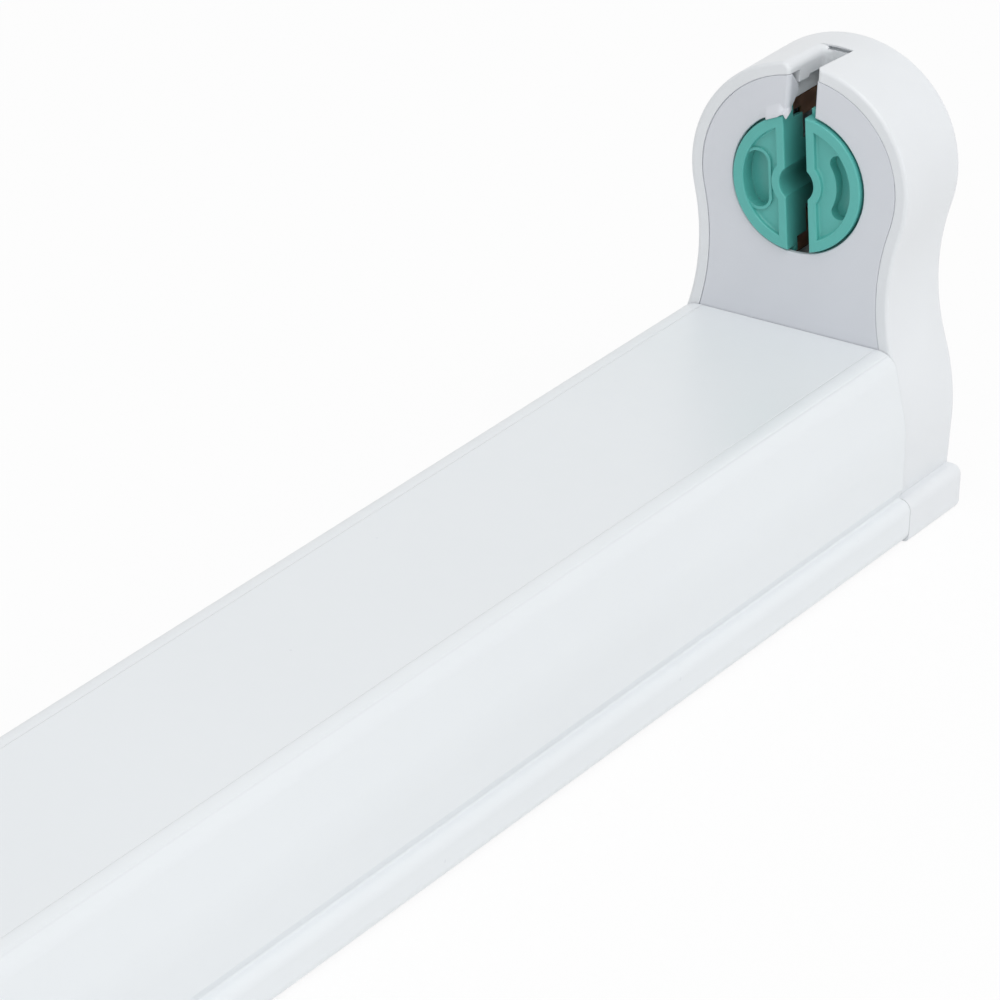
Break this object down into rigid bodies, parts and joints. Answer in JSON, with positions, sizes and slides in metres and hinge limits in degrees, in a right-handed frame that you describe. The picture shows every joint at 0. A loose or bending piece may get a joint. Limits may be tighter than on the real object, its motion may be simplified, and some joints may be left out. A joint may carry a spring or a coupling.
{
  "type": "tube light fixture",
  "caption": "Slim batten for a linear tube lamp: folded channel with a domed end cap and a turning pin socket at each end.",
  "frame": {"origin": "middle of the mounting face, on the back of the base plate", "axes": "+X along the channel, +Z away from the mounting face towards the tube, +Y across"},
  "size_m": [0.6208, 0.037, 0.0586],
  "materials": {
    "channel_paint": "satin white powder coat with a faint orange-peel",
    "zinc_steel": "zinc-plated sheet",
    "cap_plastic": "semi-gloss moulded white",
    "plate_plastic": "satin pale grey moulding",
    "rotor_plastic": "semi-gloss blue-green moulding",
    "bronze": "rolled bronze strip",
    "screw_steel": "zinc-plated",
    "clamp_brass": "turned brass",
    "tinned_brass": "tinned strip",
    "block_plastic": "natural polyamide",
    "brown_wire": "smooth insulation",
    "blue_wire": "smooth insulation",
    "earth_wire": "green and yellow striped insulation",
    "bush_rubber": "soft black"
  },
  "bodies": {
    "fixture": {"channel_cover": "channel_paint", "base_plate": "zinc_steel", "end_cap_right": "cap_plastic", "end_cap_left": "cap_plastic", "face_plate_right": "plate_plastic", "face_plate_left": "plate_plastic", "contact_right_front": "bronze", "contact_right_back": "bronze", "contact_left_front": "bronze", "contact_left_back": "bronze", "cap_screws": "screw_steel", "terminal_block": "block_plastic", "terminal_clamps": "clamp_brass", "terminal_screws": "screw_steel", "block_screw": "screw_steel", "live_wire": "brown_wire", "neutral_wire": "blue_wire", "earth_wire": "earth_wire", "earth_stud": "clamp_brass", "earth_tag": "tinned_brass", "earth_nut": "clamp_brass", "cable_bush": "bush_rubber", "wire_saddle": "block_plastic"},
    "rotor_right": {"rotor_right": "rotor_plastic"},
    "rotor_left": {"rotor_left": "rotor_plastic"}
  },
  "joints": [
    {"name": "rotor_right_turn", "type": "hinge", "parent": "fixture", "child": "rotor_right", "pos_m": [0.2955, 0, 0.04315], "axis": [1, 0, 0], "range_deg": [-84, 96]},
    {"name": "rotor_left_turn", "type": "hinge", "parent": "fixture", "child": "rotor_left", "pos_m": [-0.2955, 0, 0.04315], "axis": [1, 0, 0], "range_deg": [-90, 90]}
  ]
}
